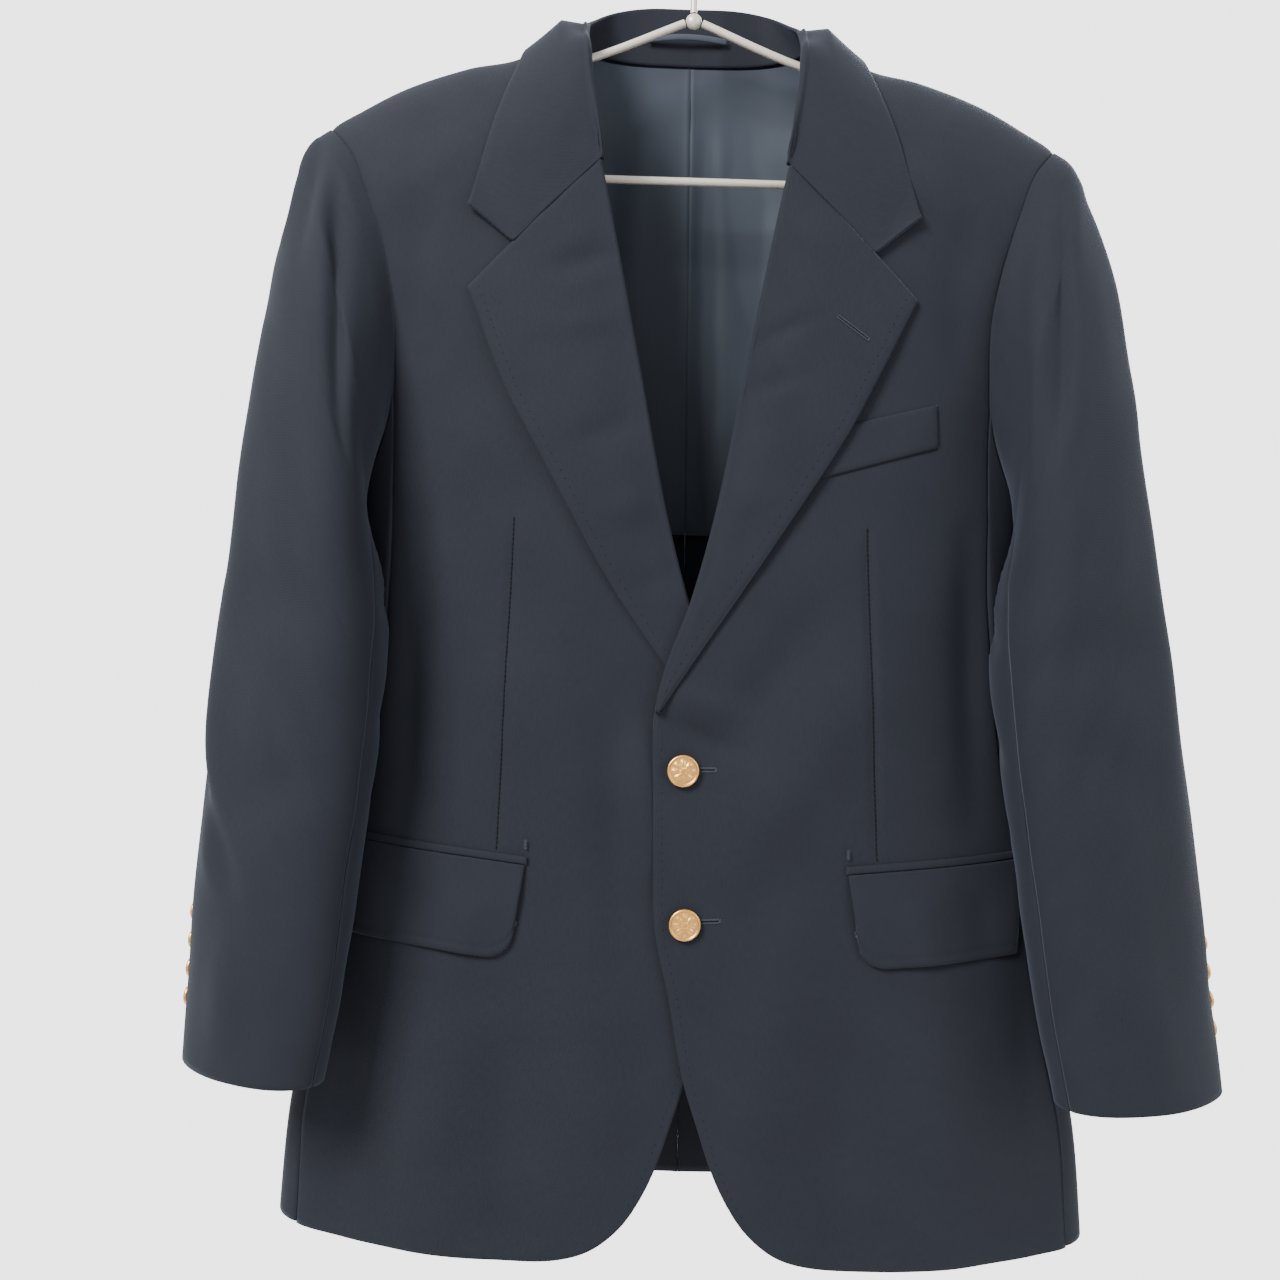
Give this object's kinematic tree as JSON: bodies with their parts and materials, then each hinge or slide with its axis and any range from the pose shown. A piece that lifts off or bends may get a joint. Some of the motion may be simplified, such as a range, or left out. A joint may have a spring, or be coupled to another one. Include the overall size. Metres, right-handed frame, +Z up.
{
  "type": "tailored jacket on a wire hanger",
  "caption": "Navy single-breasted blazer with notch lapels, flap pockets and gilt metal buttons, on a slim wire hanger.",
  "frame": {"origin": "inside top of the hanger's hook, where it hangs on a rail", "axes": "+Z up, -Y to the front of the jacket, +X towards the wearer's left"},
  "size_m": [0.6404, 0.1621, 0.8848],
  "materials": {
    "wool": "matt",
    "lining": "satin",
    "gilt": "satin",
    "hanger_wire": "satin"
  },
  "bodies": {
    "root": {"front_left_over": "wool", "front_right_under": "wool", "collar_leaf": "wool", "collar_stand": "wool", "breast_welt": "wool", "back_left": "wool", "back_right": "wool", "side_panel_left": "wool", "side_panel_right": "wool", "upper_sleeve_left": "wool", "upper_sleeve_right": "wool", "under_sleeve_left": "wool", "under_sleeve_right": "wool", "lapel_left": "wool", "lapel_right": "wool", "pocket_jet_left": "wool", "pocket_jet_right": "wool", "pocket_flap_left": "wool", "pocket_flap_right": "wool", "back_lining_left": "lining", "back_lining_right": "lining", "front_button_1": "gilt", "front_button_2": "gilt", "cuff_button_left_1": "gilt", "cuff_button_left_2": "gilt", "cuff_button_left_3": "gilt", "cuff_button_left_4": "gilt", "cuff_button_right_1": "gilt", "cuff_button_right_2": "gilt", "cuff_button_right_3": "gilt", "cuff_button_right_4": "gilt", "hanger_hook": "hanger_wire", "hanger_joint": "hanger_wire", "hanger_arm_left": "hanger_wire", "hanger_arm_right": "hanger_wire", "hanger_bar": "hanger_wire"}
  },
  "joints": []
}
